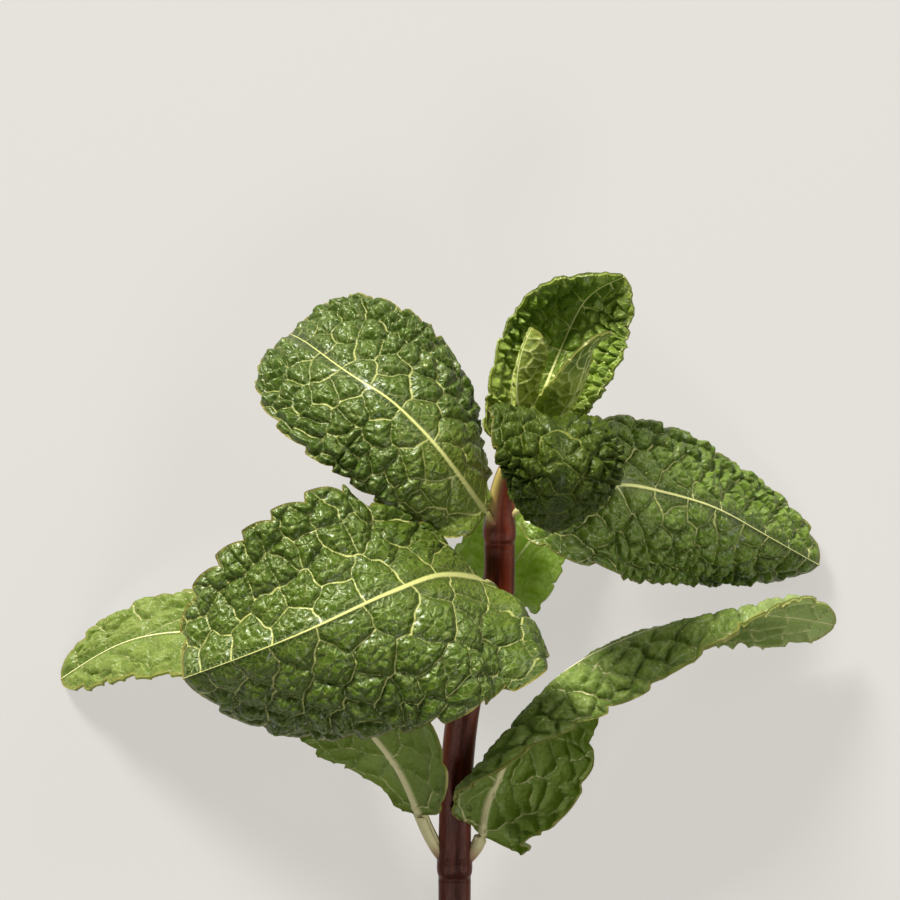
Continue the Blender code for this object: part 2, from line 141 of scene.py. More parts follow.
# %% The stem's surface
STEM_SPINE = [
    (0.5, -72.0, 1.5), (0.5, -63.0, 1.5), (0.5, -53.0, 3.2), (0.5, -44.0, 6.0), (1.0, -31.0, 10.0),
    (3.0, -21.0, 13.3), (5.0, -15.0, 15.3), (5.2, -8.2, 17.0), (6.0, -3.0, 19.4), (7.5, 0.0, 21.2),
    (9.0, 1.7, 22.2),
]
STEM_HALF = (1.75, 1.75, 1.75, 1.75, 1.75, 1.7, 1.65, 1.6, 1.35, 1.1, 0.8)  # of a side, at these points
STEM_NODES = (-44.5, -15.0, -8.4, -0.5)  # where pairs of leaves are attached, along Y
STEM_ROUND = 5.0  # the superellipse's power
STEM_FURROW = 0.07  # its depth, over half of a side
FURROW_WIDTH = 0.22  # radians round the stem
NODE_SWELL = 0.10  # how much thicker the stem is at a node, over half of a side
NODE_REACH = 1.1  # half of the swelling's length
STEM_EDGE = 1.22  # how far its edges reach, over half of a side
RING_DEPTH = 0.07  # of the crease just below each node, over half of a side
RING_WIDTH = 0.28  # half of the crease's length

stem_curve, stem_along = smooth_curve(STEM_SPINE)


def stem_half(y):
    """Half of a side at this place, with a bell-shaped swelling at each node."""
    half = np.interp(y, [point[1] for point in STEM_SPINE], STEM_HALF)
    for node in STEM_NODES:
        half = half * (1 + NODE_SWELL * np.exp(-(((y - node) / NODE_REACH) ** 2)))
        half = half * (1 - RING_DEPTH * ring_at(y, node))
    return half


def ring_at(y, node):
    """A narrow bell, exp(-(distance / width)^2), at the crease below a node."""
    return np.exp(-(((y - node + NODE_REACH) / RING_WIDTH) ** 2))


def stem_surface(rows, sides):
    """Points of the tube: centre + half side x (superellipse radius less the furrow) around it."""
    at = np.linspace(0, stem_along[-1], rows)
    centre = read_rows(at, stem_along, stem_curve)
    forward = unit(read_rows(at, stem_along, np.gradient(stem_curve, stem_along, axis=0)))
    across = unit(np.cross(forward, np.array([0.0, 0.0, 1.0])))
    up = np.cross(across, forward)
    angle = np.linspace(0, 2 * math.pi, sides, endpoint=False)
    power = abs(np.cos(angle)) ** STEM_ROUND + abs(np.sin(angle)) ** STEM_ROUND
    from_flat = (angle + math.pi / 4) % (math.pi / 2) - math.pi / 4
    reach = power ** (-1 / STEM_ROUND) - STEM_FURROW * np.exp(-((from_flat / FURROW_WIDTH) ** 2))
    half = stem_half(centre[:, 1])[:, None, None]
    wide = (np.cos(angle) * reach)[:, None]
    high = (np.sin(angle) * reach)[:, None]
    ring = across[:, None] * wide + up[:, None] * high
    points = centre[:, None] + half * ring
    points[..., 2] = np.maximum(points[..., 2], 0.0)
    return points, at, angle


print(f"stem: {stem_along[-1]:.1f} mm along its curve, {2 * STEM_HALF[0]:.1f} mm across at the cut end")

# %% [markdown]
# ## From arrays to a mesh
# Every new piece is a grid of points worked out as one array. This helper puts such an array into a
# mesh, with its numbers for the materials as attributes, and tells the frame what the piece stands for.

# %% Mesh helpers
CENTIMETRE = 10  # millimetres; a piece's flat map is measured in centimetres


def grid_faces(rows, columns, first=0, closed=False):
    """The four corners of each cell of a grid; with closed, the last column joins the first."""
    row, column = np.meshgrid(np.arange(rows - 1), np.arange(columns - (not closed)), indexing="ij")
    after = (column + 1) % columns
    corners = (row * columns + column, row * columns + after,
               (row + 1) * columns + after, (row + 1) * columns + column)
    return first + np.stack([corner.reshape(-1) for corner in corners], -1)


def add_piece(name, node, points, faces, material, numbers, flat):
    """A smooth mesh with named numbers on its points, and a UV map that lays it out flat."""
    mesh = bpy.data.meshes.new(name)
    mesh.from_pydata(((np.asarray(points) - MIDDLE) * MM).tolist(), [], [list(face) for face in faces])
    for key, values in numbers.items():
        layer = mesh.attributes.new(key, "FLOAT", "POINT")
        layer.data.foreach_set("value", np.asarray(values, np.float32))
    corner = np.empty(len(mesh.loops), np.int32)
    mesh.loops.foreach_get("vertex_index", corner)
    layer = mesh.uv_layers.new(name="flat")
    layer.data.foreach_set("uv", np.asarray(flat, np.float32)[corner].reshape(-1))
    mesh.shade_smooth()
    mesh.materials.append(material)
    piece = bpy.data.objects.new(name, mesh)
    bpy.context.scene.collection.objects.link(piece)
    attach(piece, "root")
    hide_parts(node)
    print(f"{name}: {sum(len(face.vertices) - 2 for face in mesh.polygons)} triangles")


print("a grid of 2 x 3 points has the faces", grid_faces(2, 3).tolist())

# %% [markdown]
# ## Leaf blades
# A leaf blade is nearly a flat sheet that has been folded along its midrib and curled to both sides. So
# each point is given by how far along the midrib it lies and how far out, measured on the flat sheet.
# The sheet is then bent: each row runs out from the midrib as an arc of a circle, which starts at the
# fold's angle and turns by the curl's angle. Its length stays true, as a real leaf's does.

# %% The leaf class
STALK_HALF = 0.6  # half of a stalk's width
FOLD_START = 1.5  # the blade opens to its full fold over this length from the stalk
LOBE_START = 4.0  # a base lobe wider than this is folded like the blade beside it
RIB_HALF = 1.2  # from the midrib out to here, relief turns from straight up to square on the blade
TOOTH_RISE = 0.85  # share of a tooth's length over which it rises
TOOTH_ROUND = 0.7  # a power below 1 makes a tooth rounder
TOOTH_INSIDE = 0.6  # share of a tooth's height that lies inside the plain outline
TOOTH_LEAN = 0.25  # how far a tooth leans toward the tip, over its height
TEETH_START, TEETH_END = 0.12, 0.08  # shares of the margin over which the teeth grow and die away
LEAST_REACH = 0.05  # keeps the margin off the midrib


class Leaf:
    """A leaf's spine, outline and bending, as the solids have them. The face is the upper side's
    direction. Faces, folds and curls are given at the base, the middle and the tip, folds and curls in
    degrees and for each half of the blade, as half widths and lobes are. A tooth is this high."""

    def __init__(self, spine, face, stalk, half_widths, fullest, fullness, lobes, folds, curls, teeth,
                 tooth=0.7, stalk_half=STALK_HALF):
        self.curve, self.along = smooth_curve(spine)
        self.forward = unit(np.gradient(self.curve, self.along, axis=0))
        self.face = face
        self.stalk = stalk
        self.length = self.along[-1] - stalk
        self.half_widths = half_widths
        self.fullest = fullest
        self.fullness = fullness
        self.lobes = lobes
        self.folds = folds
        self.curls = curls
        self.teeth = teeth
        self.tooth = tooth
        self.stalk_half = stalk_half

    def outline(self, turn, side):
        """The toothless margin: reach rises and falls as two powers, and a lobe pulls the base back."""
        part = (1 - np.cos(np.pi * turn)) / 2
        rise = (part / self.fullest) ** self.fullest
        fall = ((1 - part) / (1 - self.fullest)) ** (1 - self.fullest)
        reach = (rise * fall) ** self.fullness
        out = self.half_widths[side] * reach
        return self.length * part - self.lobes[side] * reach * (1 - part) ** 3, out

    def margin(self, share, side):
        """The toothed margin: each tooth rises as a quarter sine and falls back in a short notch."""
        turn = np.linspace(0, 1, 4 * CURVE_STEPS)
        along, out = self.outline(turn, side)
        steps = np.hypot(np.diff(along), np.diff(out))
        run = np.concatenate([[0.0], np.cumsum(steps)]) / steps.sum()
        at = np.interp(share, run, along)
        reach = np.interp(share, run, out)
        slope = np.interp(share, run, np.gradient(along)), np.interp(share, run, np.gradient(out))
        size = np.hypot(*slope) + 1e-9
        phase = (self.teeth * share) % 1.0
        rising = np.sin(np.pi / 2 * (np.minimum(phase, TOOTH_RISE) / TOOTH_RISE) ** TOOTH_ROUND)
        falling = np.cos(np.pi / 2 * np.maximum(phase - TOOTH_RISE, 0) / (1 - TOOTH_RISE))
        height = np.where(phase < TOOTH_RISE, rising, falling) - TOOTH_INSIDE
        height = height * self.tooth * np.clip(share / TEETH_START, 0, 1)
        height = height * np.clip((1 - share) / TEETH_END, 0, 1)
        at = at + height * (TOOTH_LEAN * slope[0] - slope[1]) / size
        return at, np.maximum(reach + height * slope[0] / size, LEAST_REACH)

    def place(self, along, out, side, lift, on_stalk=False):
        """Bends flat points into space: x = (sin a - sin fold) / bend, y = (cos fold - cos a) / bend."""
        follow = along if on_stalk else np.maximum(along, 0)
        at = np.clip(follow + self.stalk, 0, self.along[-1])
        forward = unit(read_rows(at, self.along, self.forward))
        centre = read_rows(at, self.along, self.curve) + forward * (along + self.stalk - at)[..., None]
        face = blend(at / self.along[-1], *self.face)
        face = unit(face - (face * forward).sum(-1, keepdims=True) * forward)
        sideways = np.cross(face, forward) * (1 if side == 0 else -1)
        share = np.clip(along / self.length, 0, 1)
        opened = np.clip(np.maximum(along / FOLD_START, out / LOBE_START - 1), 0, 1)
        fold = np.radians(blend(share, *self.folds[side])) * opened
        bend = np.radians(blend(share, *self.curls[side])) / self.half_widths[side]
        bend = np.where(abs(bend) < 1e-5, 1e-5, bend)
        angle = fold + bend * out
        upright = angle * np.clip(out / RIB_HALF, 0, 1)
        flat = (np.sin(angle) - np.sin(fold)) / bend - np.sin(upright) * lift
        high = (np.cos(fold) - np.cos(angle)) / bend + np.cos(upright) * lift
        return centre + sideways * flat[..., None] + face * high[..., None]


print(f"each tooth rises over {TOOTH_RISE:.0%} of its length and falls back in the rest")

# %% [markdown]
# ## The net of veins
# Side veins leave the midrib every few millimetres and sweep toward the tip. Smaller veins join them
# and shut the blade into cells, and each cell puffs up on the upper side. A Voronoi pattern has just
# this look, if its seeds stand in a line between each two side veins: a place belongs to its nearest
# seed, and a vein runs wherever two seeds are equally near. The distance to that vein is
# (far squared - near squared) / (2 x the distance between the two seeds).

# %% Gentle noise
NOISE_WAVES = 14


def gentle_noise(x, y, size, seed):
    """A smooth random field of about unit height: a sum of plane waves in random directions."""
    draw = np.random.default_rng(seed)
    total = np.zeros_like(x)
    for _ in range(NOISE_WAVES):
        turn = draw.uniform(0, 2 * math.pi)
        pitch = 2 * math.pi / (size * draw.uniform(0.6, 1.6))
        total += np.sin((x * math.cos(turn) + y * math.sin(turn)) * pitch + draw.uniform(0, 6.28))
    return total / NOISE_WAVES**0.5


print("noise: a sum of", NOISE_WAVES, "waves")

# %% Seeds of the cells
VEIN_LEAN = 0.6  # how far a side vein sweeps toward the tip as it leaves the midrib, over its way out
VEIN_BEND = 0.45  # how much more it does so at the margin
VEIN_CROWDING = 1.2  # a power above 1 sets the side veins closer together toward the tip
TWO_LINES_FROM = 0.55  # from this share of the half width on, two lines of cells fit between two veins


def vein_line(leaf, side, start, out):
    """Where a side vein from start lies once it is this far out: start + out x (lean + bend x share)."""
    return start + out * (VEIN_LEAN + VEIN_BEND * out / leaf.half_widths[side])


def cell_seeds(leaf, side, veins, cell, draw):
    """Seeds of the cells: a line of them between each two side veins, in two lines near the margin."""
    seeds = []
    bands = []
    starts = leaf.length * (1 - (1 - np.arange(veins + 1) / veins) ** VEIN_CROWDING)
    gap = starts[1] - starts[0]
    starts = np.concatenate([[-3 * gap, -2 * gap, -gap], starts])
    for k in range(len(starts) - 1):
        low, high = starts[k], starts[k + 1]
        out = cell * draw.uniform(0.35, 0.65)
        while out < leaf.half_widths[side] + cell:
            lines = (0.5,) if out < TWO_LINES_FROM * leaf.half_widths[side] else (0.27, 0.75)
            for line in lines:
                share = line + draw.uniform(-0.13, 0.13)
                place = out + cell * draw.uniform(-0.2, 0.2)
                seeds.append((vein_line(leaf, side, low + share * (high - low), place), max(place, 0.3)))
                bands.append(k)
            out += cell * draw.uniform(0.75, 1.05)
    return np.array(seeds, np.float32), np.array(bands)


print(f"side veins leave the midrib at {math.degrees(math.atan2(1, VEIN_LEAN)):.0f} degrees")

# %% Distances to the cells' edges
CHUNK = 20000  # points worked out at a time, to spare memory
FAR = 1e3  # farther than any edge


def cell_edges(along, out, seeds, bands):
    """Distance to the nearest cell's edge, and to the nearest edge between two bands of cells."""
    points = np.stack([along.reshape(-1), out.reshape(-1)], -1).astype(np.float32)
    edge = np.empty(len(points), np.float32)
    band_edge = np.empty(len(points), np.float32)
    for first in range(0, len(points), CHUNK):
        here = slice(first, first + CHUNK)
        part = points[here]
        squared = ((part[:, None] - seeds[None]) ** 2).sum(-1)
        near = squared.argmin(1)
        nearest = squared[np.arange(len(part)), near]
        between = np.linalg.norm(seeds[None] - seeds[near][:, None], axis=-1)
        away = (squared - nearest[:, None]) / np.maximum(2 * between, 1e-6)
        away[np.arange(len(part)), near] = FAR
        edge[here] = away.min(1)
        away[bands[None] == bands[near][:, None]] = FAR
        band_edge[here] = away.min(1)
    return edge.reshape(along.shape), band_edge.reshape(along.shape)


print("edges are worked out for", CHUNK, "points at a time")

# %% Relief of the blade
WOBBLE = 0.16  # how far the net's straight edges are bent out of line
WOBBLE_SIZE = 2.5  # about the length of its waves
DOME_POWER = 2.2
RIB_POWER = 2.2  # the midrib thins toward the tip by this power
RIB_LEAST = 0.05  # half of the midrib's width at the tip
WRINKLE = 0.014  # height of the skin's wrinkles
RIM_WIDTH = 0.9  # the relief dies away over this strip along the margin
RIM_DROP = 0.15  # how far the margin turns down
LOBE_ROOM = 4  # how far behind the blade's base the smallest cells begin


def dome(distance, reach):
    """The rise of a puffed cell over the distance from its edge, 1 - (1 - share)^power: a soft pillow."""
    return 1 - (1 - np.clip(distance / reach, 0, 1)) ** DOME_POWER


def relief(leaf, side, along, out, edge_out, look, seed):
    """Height above the sheet, puffs x (big domes + small domes) + wrinkles, for one half of a blade, and
    the distances that the materials read."""
    draw = np.random.default_rng(seed)
    wobble = [WOBBLE * gentle_noise(along, out, WOBBLE_SIZE, seed + i) for i in (0, 1)]
    seeds, bands = cell_seeds(leaf, side, look["veins"], look["cell"], draw)
    edge, band_edge = cell_edges(along + wobble[0], out + wobble[1], seeds, bands)
    small = look["cell"] * look["small"]
    box = np.array([leaf.length + LOBE_ROOM, leaf.half_widths[side] + 2]) / small
    column, row = np.meshgrid(np.arange(-LOBE_ROOM / small, box[0]), np.arange(0, box[1]), indexing="ij")
    little = np.stack([column.reshape(-1), row.reshape(-1)], -1) + draw.uniform(0, 0.9, (column.size, 2))
    little = (little * small).astype(np.float32)
    small_edge, _ = cell_edges(along + wobble[1], out + wobble[0], little, np.arange(len(little)))
    share = np.clip(along / leaf.length, 0, 1)
    reach = out / leaf.half_widths[side]
    puffed = blend(share, *look["puffed"]) * (0.5 + 0.5 * soft_step(0.0, 0.6, reach))
    rib = look["rib"] * (1 - share) ** RIB_POWER + RIB_LEAST
    near_rib = soft_step(0.0, 1.2, out - rib)
    big = dome(edge, 0.45 * look["cell"])
    little_dome = dome(small_edge, 0.5 * small)
    beads = look["beads"] * little_dome * (0.35 + 0.65 * big)
    height = puffed * near_rib * (big * (1 - 0.5 * look["beads"]) + beads - 0.35)
    crinkle = gentle_noise(along, out, 0.7, seed + 2) + 0.7 * gentle_noise(along, out, 0.4, seed + 3)
    height += WRINKLE * crinkle * near_rib * soft_step(0, 0.5, edge)
    rim = soft_step(0.0, RIM_WIDTH, edge_out - out)
    height = height * (0.25 + 0.75 * rim) - RIM_DROP * (1 - rim)
    return height, {
        "edge": edge,
        "band": band_edge,
        "small": small_edge,
        "rib": out / rib,
        "reach": reach,
        "share": share,
        # the cells' height, which the materials turn into painted shade in the creases
        "dome_shade": np.clip(0.6 * big + 0.4 * little_dome, 0, 1) * near_rib,
        "rim": 1 - soft_step(0.05, 0.3, edge_out - out),
        "foot": np.zeros_like(out),
    }


print("relief: the skin's wrinkles are", WRINKLE, "mm high")

# %% [markdown]
# ## Growing a leaf
# The blade is one closed sheet: a fine grid above, a grid below and a strip round the rim. The under
# side needs less detail where nobody sees it, so it can take every third row and column, and the strip
# then fans out between the two. The midrib of a real leaf stands out below, and so does this one's.

# %% Keep off the stem
GAP = 0.3  # between a blade and the stem


def clear_of_stem(points):
    """Moves points straight away from the stem's centre line until they are outside it."""
    near = np.empty(len(points), int)
    centre = stem_curve.astype(np.float32)
    for first in range(0, len(points), CHUNK):
        here = slice(first, first + CHUNK)
        part = points[here].astype(np.float32)
        near[here] = ((part[:, None] - centre[None]) ** 2).sum(-1).argmin(1)
    away = points - stem_curve[near]
    distance = np.linalg.norm(away, axis=-1)
    needed = stem_half(stem_curve[near][:, 1]) * STEM_EDGE + GAP
    push = np.maximum(needed - distance, 0)
    return points + away / np.maximum(distance, 1e-6)[:, None] * push[:, None]


print("blades stay", GAP, "mm off the stem")

# %% One half of a leaf
BLADE = 0.3  # the blade's thickness
STALK_ROWS = 14
ROOT = 0.6  # the stalk starts this far from the stem's centre line, hidden inside the stem
FOOT = (2.0, 4.6)  # from the stem's centre line: the stalk is pinkish at the first, green at the second
FIRST_ROW, LAST_ROW = 0.004, 0.999  # shares of the margin
ROW_SWEEP = 1.35  # a power above 1: a row starts nearer the base on the midrib than it ends on the margin
ROW_BOW = 1.4  # a power above 1: a row leaves the midrib squarely and then sweeps toward the tip
RIB_BELOW = 0.5  # half of the midrib's width on the under side
NET_BELOW = 0.2  # and of the veins' there
STEEPEST = -1.5  # slope with which the stalk's end may run back to a lobe
STALK_NUMBERS = {"edge": 9.0, "band": 9.0, "small": 9.0, "rib": 0.0, "reach": 0.0, "share": 0.0, "dome_shade": 0.0,
                 "rim": 0.0, "foot": 0.0}


def half_leaf(leaf, side, look, rows, columns, seed):
    """Upper and lower points of one half, row by row from the stalk to the tip, and its numbers."""
    share = np.linspace(FIRST_ROW, LAST_ROW, rows)
    edge, reach = leaf.margin(share, side)
    across = np.linspace(0, 1, columns + 1)
    middle = leaf.length * share[:, None] ** ROW_SWEEP
    along = middle + (edge[:, None] - middle) * across**ROW_BOW
    out = reach[:, None] * across
    height, numbers = relief(leaf, side, along, out, reach[:, None], look, seed)
    fade = np.clip(out * 4, 0, 1)
    height = height * fade
    thick = BLADE / 2 * np.ones_like(height)
    under = thick + look["rib"] * np.exp(-((out / RIB_BELOW) ** 2)) * (1 - share[:, None]) ** 0.8
    under = under + look["net"] * np.exp(-((numbers["edge"] / NET_BELOW) ** 2)) * fade
    steps = np.linspace(ROOT - leaf.stalk, 0, STALK_ROWS, endpoint=False)
    stalk_along, stalk_share = np.meshgrid(steps, across, indexing="ij")
    back = min(edge[0] - middle[0, 0], 0) / reach[0]
    stalk_out = stalk_share * leaf.stalk_half
    stalk_along = stalk_along + max(back, STEEPEST) * stalk_out
    stalk_out = stalk_out * look["stalk"]
    half = leaf.stalk_half * look["stalk"] * np.sqrt(np.maximum(1 - stalk_share**2, 0.05))
    numbers = {key: np.concatenate([np.full(stalk_out.shape, STALK_NUMBERS[key]), value])
               for key, value in numbers.items()}
    numbers["foot"][:STALK_ROWS] = 1 - soft_step(FOOT[0], FOOT[1], stalk_along + leaf.stalk)
    top = np.concatenate([leaf.place(stalk_along, stalk_out, side, half, on_stalk=True),
                          leaf.place(along, out, side, height + thick)])
    bottom = np.concatenate([leaf.place(stalk_along, stalk_out, side, -half, on_stalk=True),
                             leaf.place(along, out, side, height - under)])
    flat = np.stack([np.concatenate([stalk_along, along]), np.concatenate([stalk_out, out])], -1)
    return top, bottom, flat, numbers


print("a blade is", BLADE, "mm thick, and its stalk has", STALK_ROWS, "rows of points")


# %% A whole leaf
def join_halves(left, right):
    """Two grids that share the midrib's column, side by side in one."""
    return np.concatenate([left[:, ::-1], right[:, 1:]], axis=1)


def rim_index(rows, columns):
    """The grid's border, once round."""
    down = np.arange(rows) * columns
    across = (rows - 1) * columns + np.arange(1, columns)
    return np.concatenate([down, across, down[-2::-1] + columns - 1, np.arange(columns - 2, 0, -1)])


def add_leaf(name, leaf, look, rows, columns, material, seed, coarse=3):
    """A whole leaf. Rows less one and columns are multiples of coarse, so that both grids share corners."""
    halves = [half_leaf(leaf, side, look, rows - STALK_ROWS, columns, seed + 10 * side) for side in (0, 1)]
    top, bottom = (join_halves(halves[0][i], halves[1][i]) for i in (0, 1))
    flat = join_halves(halves[0][2] * np.array([1, -1]), halves[1][2])
    numbers = {key: join_halves(halves[0][3][key], halves[1][3][key]) for key in halves[0][3]}
    wide = top.shape[1]
    low = bottom[::coarse, ::coarse]
    blade = STALK_ROWS + 3
    top[blade:] = clear_of_stem(top[blade:].reshape(-1, 3)).reshape(top[blade:].shape)
    blade = blade // coarse + 1
    low[blade:] = clear_of_stem(low[blade:].reshape(-1, 3)).reshape(low[blade:].shape)
    points = np.concatenate([top.reshape(-1, 3), low.reshape(-1, 3)])
    points[:, 2] = np.maximum(points[:, 2], 0.0)
    under = rows * wide
    upper = rim_index(rows, wide)
    lower = under + rim_index(*low.shape[:2])
    place = np.arange(len(upper))
    fan_low = lower[place // coarse]
    next_low = lower[(place // coarse + 1) % len(lower)]
    last = place % coarse == coarse - 1
    faces = [*grid_faces(rows, wide)[:, ::-1].tolist(), *grid_faces(*low.shape[:2], under).tolist()]
    for a, b, c, d, ends in zip(upper, np.roll(upper, -1), fan_low, next_low, last):
        faces.append([a, b, d, c] if ends else [a, b, c])
    spread = {key: np.concatenate([value.reshape(-1), value[::coarse, ::coarse].reshape(-1)])
              for key, value in numbers.items()}
    spread["under"] = np.concatenate([np.zeros(under), np.ones(low.shape[0] * low.shape[1])])
    both = np.concatenate([flat.reshape(-1, 2), flat[::coarse, ::coarse].reshape(-1, 2)]) / CENTIMETRE
    add_piece(name, name, points, faces, material, spread, both)


print("the border of a 3 x 3 grid, once round:", rim_index(3, 3).tolist())

# %% [markdown]
# ## Writing materials as sums
# A material is a net of nodes, which is easier to read as arithmetic. This small class wraps one socket,
# so that a * b + 0.2 makes the two Math nodes that it means.

# %% Shader arithmetic
class Wire:
    """A socket that can be added, multiplied and so on."""

    def __init__(self, shading, socket):
        self.shading = shading
        self.socket = socket

    def math(self, operation, first, second):
        return self.shading.node("ShaderNodeMath", {"operation": operation}, {0: first, 1: second})

    def __add__(self, other):
        return self.math("ADD", self, other)

    def __mul__(self, other):
        return self.math("MULTIPLY", self, other)

    def __sub__(self, other):
        return self.math("SUBTRACT", self, other)

    def __rsub__(self, other):
        return self.math("SUBTRACT", other, self)

    __radd__ = __add__
    __rmul__ = __mul__

    def between(self, low, high):
        """0 at low, 1 at high, held inside. Both may be numbers or wires."""
        sockets = {"Value": self, "From Min": low, "From Max": high}
        return self.shading.node("ShaderNodeMapRange", {}, sockets)


print("a wire can be added, multiplied, subtracted and read between two values")


# %% A new material
def four(colour):
    """A colour as red, green, blue and alpha; a wire stays as it is."""
    return (*colour, 1.0) if isinstance(colour, tuple) else colour


class Shading:
    """A new material and its nodes."""

    def __init__(self, name):
        self.material = bpy.data.materials.new(name)
        self.material.use_nodes = True
        self.tree = self.material.node_tree
        self.tree.nodes.clear()

    def node(self, kind, settings, sockets, output=0):
        """A node: its settings first, then values or wires for its sockets, then the wanted output."""
        made = self.tree.nodes.new(kind)
        for key, value in settings.items():
            setattr(made, key, value)
        for key, value in sockets.items():
            if isinstance(value, Wire):
                self.tree.links.new(value.socket, made.inputs[key])
            else:
                made.inputs[key].default_value = value
        return Wire(self, made.outputs[output])

    def number(self, name):
        """One of the piece's own numbers, such as the distance to the nearest vein."""
        return self.node("ShaderNodeAttribute", {"attribute_name": name}, {}, "Fac")

    def mix(self, share, first, second):
        """Two colours mixed: first at 0, second at 1. The colour sockets are the node's 6 and 7."""
        settings = {"data_type": "RGBA", "blend_type": "MIX", "clamp_factor": True}
        return self.node("ShaderNodeMix", settings, {0: share, 6: four(first), 7: four(second)}, 2)

    def noise(self, where, scale, detail, rough):
        """Cloudy noise about 0.5; its scale is in clouds per centimetre."""
        return self.node("ShaderNodeTexNoise", {}, {"Vector": where, "Scale": scale, "Detail": detail,
                                                    "Roughness": rough})

    def finish(self, surface):
        """The material, with this surface on it."""
        output = self.tree.nodes.new("ShaderNodeOutputMaterial")
        self.tree.links.new(surface.socket, output.inputs["Surface"])
        return self.material


print("a mix of two colours takes them as", four((0.1, 0.2, 0.3)))

# %% [markdown]
# ## Leaf green
# A leaf's green is painted darker in the creases and lighter on top of its puffed cells: painted shade that
# follows the cells' height. It also changes in random patches, and it is yellow-green in the veins and at
# its base. Tiny pale oil glands dot it. Its skin has a waxy sheen that the fine wrinkles break up. Light
# also passes through the blade, so a Translucent shader takes a share of the surface. The veins are drawn
# from the distances that the mesh brings along, so they lie in the creases exactly. Some leaves get
# lighter copies of the green: painted light for leaves that lie in shade.

# %% Leaf material
BASE_GREEN = (0.27, 0.34, 0.05)
FOOT_PINK = (0.30, 0.12, 0.07)
MARGIN_BROWN = (0.34, 0.24, 0.05)
SHEEN_TINT = (0.88, 1.0, 0.55)
COAT_TINT = (0.95, 1.0, 0.8)
WRINKLE_DEPTH = 0.0002  # metres: the height that the bump stands for


def leaf_material(name, deep, fresh, vein, back, through, share_through=0.2, gloss=0.32, seen=1.0, base=0.3,
                  shine=0.3, rim=0.5, midline=1.0, pale_out=1.8, tip=(0.0, 0.0, 0.0), tip_share=0.0,
                  tip_from=0.45, specular=0.6):
    """Colours: deep and fresh are the blade's greens, which the cells' height mixes as painted shade in the
    creases, vein the net's, back the under side's, through the light's that passes, and tip the tip's from
    tip_from on. Amounts: share_through of light that passes, gloss of roughness, seen of the veins'
    paleness that is left at the tip, the rest being painted shade of the grooves, base of paleness at the
    base and pale_out of how fast it ends outward, shine of the coat, rim of brown at the margin, midline of
    the midrib's paleness, and specular of plain reflection."""
    made = Shading(name)
    where = made.node("ShaderNodeUVMap", {"uv_map": "flat"}, {})
    patches = made.noise(where, 4.0, 3.0, 0.5)
    fine = made.noise(where, 55.0, 3.0, 0.6)
    grain = made.noise(where, 26.0, 2.0, 0.5)
    to_edge = {"feature": "DISTANCE_TO_EDGE"}
    lace = made.node("ShaderNodeTexVoronoi", to_edge, {"Vector": where, "Scale": 15.0}, "Distance")
    glands = made.node("ShaderNodeTexVoronoi", {}, {"Vector": where, "Scale": 13.0}, "Distance")
    dots = 1 - glands.between(0.07, 0.11)
    reach = made.number("reach")
    share = made.number("share")
    width = 0.10 - reach * 0.04
    off_lobe = 1 - reach.between(0.4, 0.8) * (1 - share.between(0.0, 0.15)) * 0.8
    side_vein = 1 - made.number("band").between(width * 0.5, width * 1.2)
    # painted shade: with seen below 1 the veins lose their paleness toward the tip, where they lie in shaded
    # grooves
    side_vein = side_vein * (1 - share * (1 - seen)) * off_lobe
    mesh_vein = 1 - made.number("edge").between(width * 0.2, width)
    mesh_vein = mesh_vein * (0.85 - share * (1 - seen)) * off_lobe
    net_vein = 1 - made.number("small").between(width * 0.1, width * 0.65)
    lace_vein = 1 - lace.between(0.02, 0.09)
    midrib = (1 - made.number("rib").between(0.6, 1.25)) * midline
    dome_shade = made.number("dome_shade")
    # painted shade: the green turns deep where the cells are low, in the creases, and fresh on their tops;
    # the patches vary it at random
    green = made.mix((dome_shade * 0.6 + patches * 0.7).between(0.25, 0.95), deep, fresh)
    green = made.mix(fine.between(0.5, 0.8) * 0.3, green, tuple(1.5 * c for c in fresh))
    near_base = (1 - (share * 2.2 + reach * pale_out)).between(0.0, 1.0)
    green = made.mix(near_base * base, green, BASE_GREEN)
    green = made.mix(net_vein * 0.5, green, tuple(0.5 * v + 0.5 * f for v, f in zip(vein, fresh)))
    green = made.mix(lace_vein * 0.12, green, vein)
    green = made.mix(dots * 0.9, green, vein)
    green = made.mix(made.number("under"), green, back)
    green = made.mix(share.between(tip_from, tip_from + 0.2) * tip_share, green, tip)
    colour = made.mix(mesh_vein * 0.85, green, vein)
    colour = made.mix(side_vein * (0.45 + 0.45 * midline), colour, vein)
    cream = tuple(0.85 * v + 0.02 for v in vein)
    colour = made.mix(midrib, colour, made.mix(share.between(0.0, 0.5), cream, vein))
    colour = made.mix(made.number("foot"), colour, FOOT_PINK)
    colour = made.mix(made.number("rim") * rim, colour, MARGIN_BROWN)
    rough = gloss + fine * 0.25 - dots * 0.1
    smooth = 1 - midrib * 0.8
    height = (fine * 0.4 + grain * 0.5 + lace.between(0.0, 0.25) * 0.6) * smooth + dots * 0.4
    bump = made.node("ShaderNodeBump", {}, {"Strength": 0.5, "Distance": WRINKLE_DEPTH, "Height": height})
    skin = made.node("ShaderNodeBsdfPrincipled", {}, {
        "Base Color": colour, "Roughness": rough, "Normal": bump, "Specular IOR Level": specular,
        "Specular Tint": four(SHEEN_TINT), "Coat Weight": smooth * shine, "Coat Roughness": 0.2,
        "Coat Tint": four(COAT_TINT),
    })
    glow = made.node("ShaderNodeBsdfTranslucent", {}, {"Color": four(through), "Normal": bump})
    return made.finish(made.node("ShaderNodeMixShader", {}, {0: smooth * share_through, 1: skin, 2: glow}))


print("leaf material: the base's green is", BASE_GREEN)

